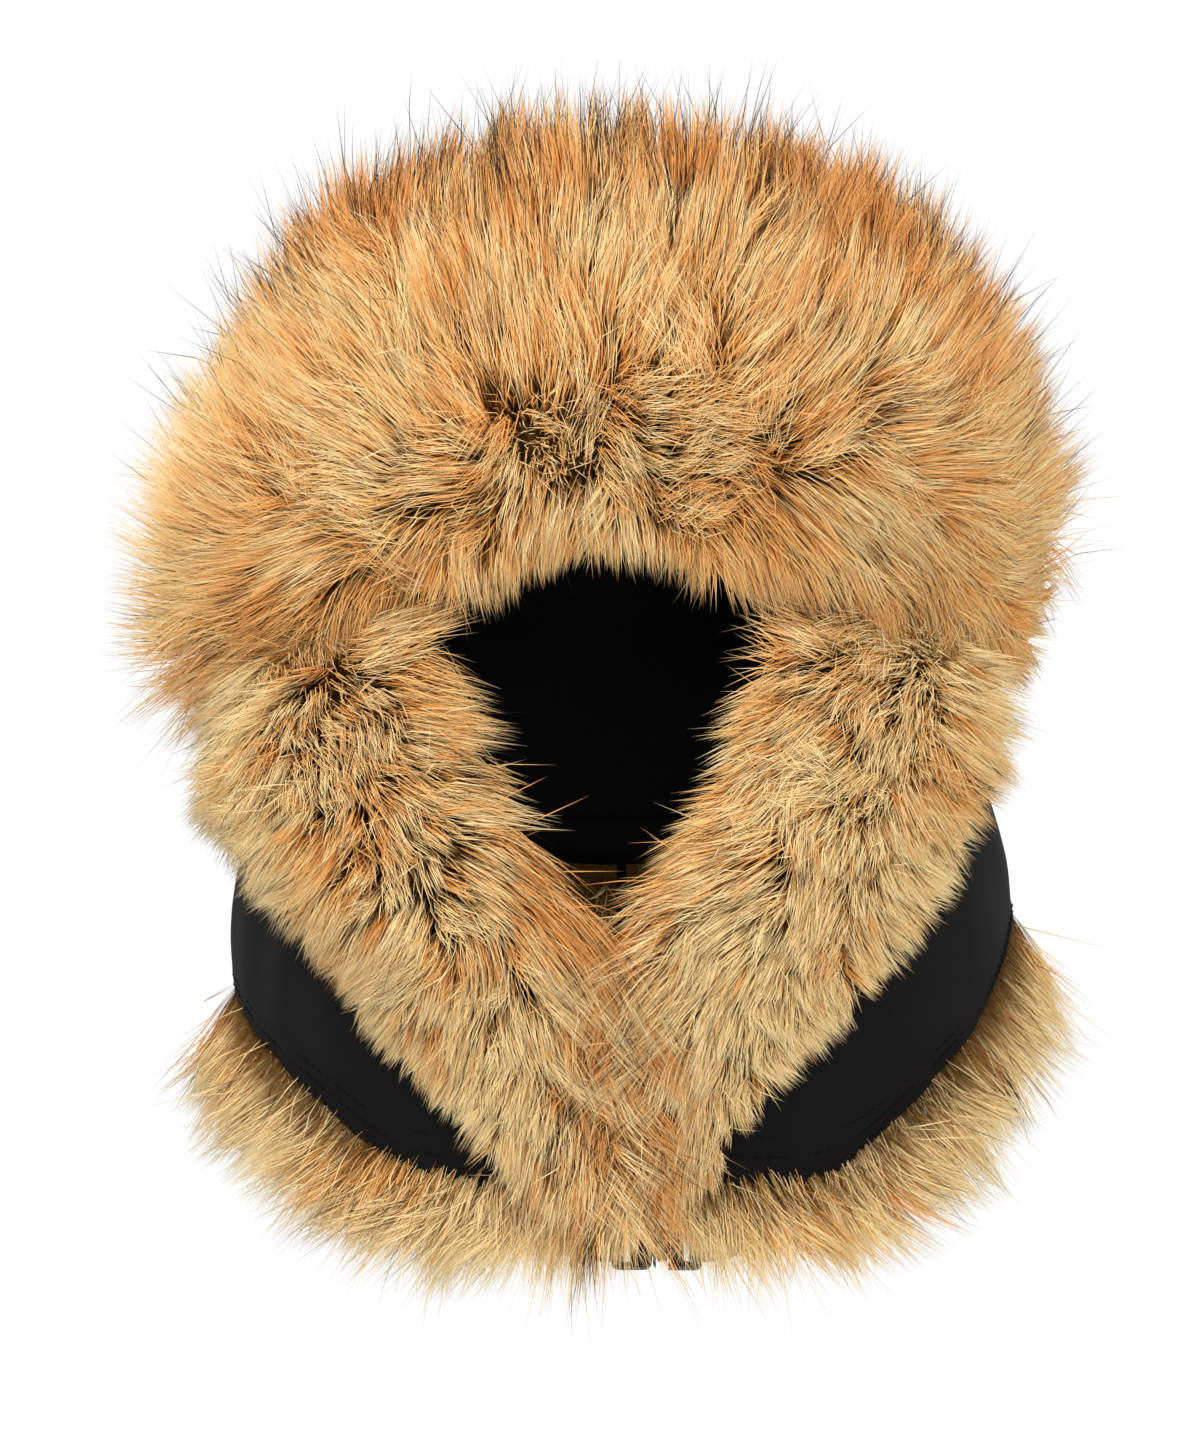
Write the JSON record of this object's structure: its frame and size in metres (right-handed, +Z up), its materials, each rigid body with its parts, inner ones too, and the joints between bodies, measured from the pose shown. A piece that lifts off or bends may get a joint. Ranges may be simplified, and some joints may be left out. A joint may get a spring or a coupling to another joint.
{
  "type": "aviator hat",
  "caption": "Winter aviator hat with a deep fur brow, fur-trimmed black ear and neck flaps drawn together under the chin, and a buckled chin strap.",
  "frame": {"origin": "centre of the head opening at the height of the brow rim, where a head holds the hat", "axes": "+Z up through the crown, -Y the way the face looks, +X the wearer's left"},
  "size_m": [0.2925, 0.2773, 0.3715],
  "materials": {
    "shell_cloth": "matte black woven cloth",
    "lining_cloth": "smooth black lining",
    "fur": "long golden tan pile with dark roots and pale tips",
    "webbing": "black woven webbing",
    "buckle": "moulded black plastic"
  },
  "bodies": {
    "root": {"crown_shell": "shell_cloth", "crown_lining": "lining_cloth", "brow_flap": "shell_cloth", "brow_fur": "fur", "ear_flap_left": "shell_cloth", "cheek_fur_left": "fur", "lining_fur_left": "fur", "chin_strap_left": "webbing", "ear_flap_right": "shell_cloth", "cheek_fur_right": "fur", "lining_fur_right": "fur", "chin_strap_right": "webbing", "buckle_socket": "buckle", "buckle_plug": "buckle"}
  },
  "joints": []
}
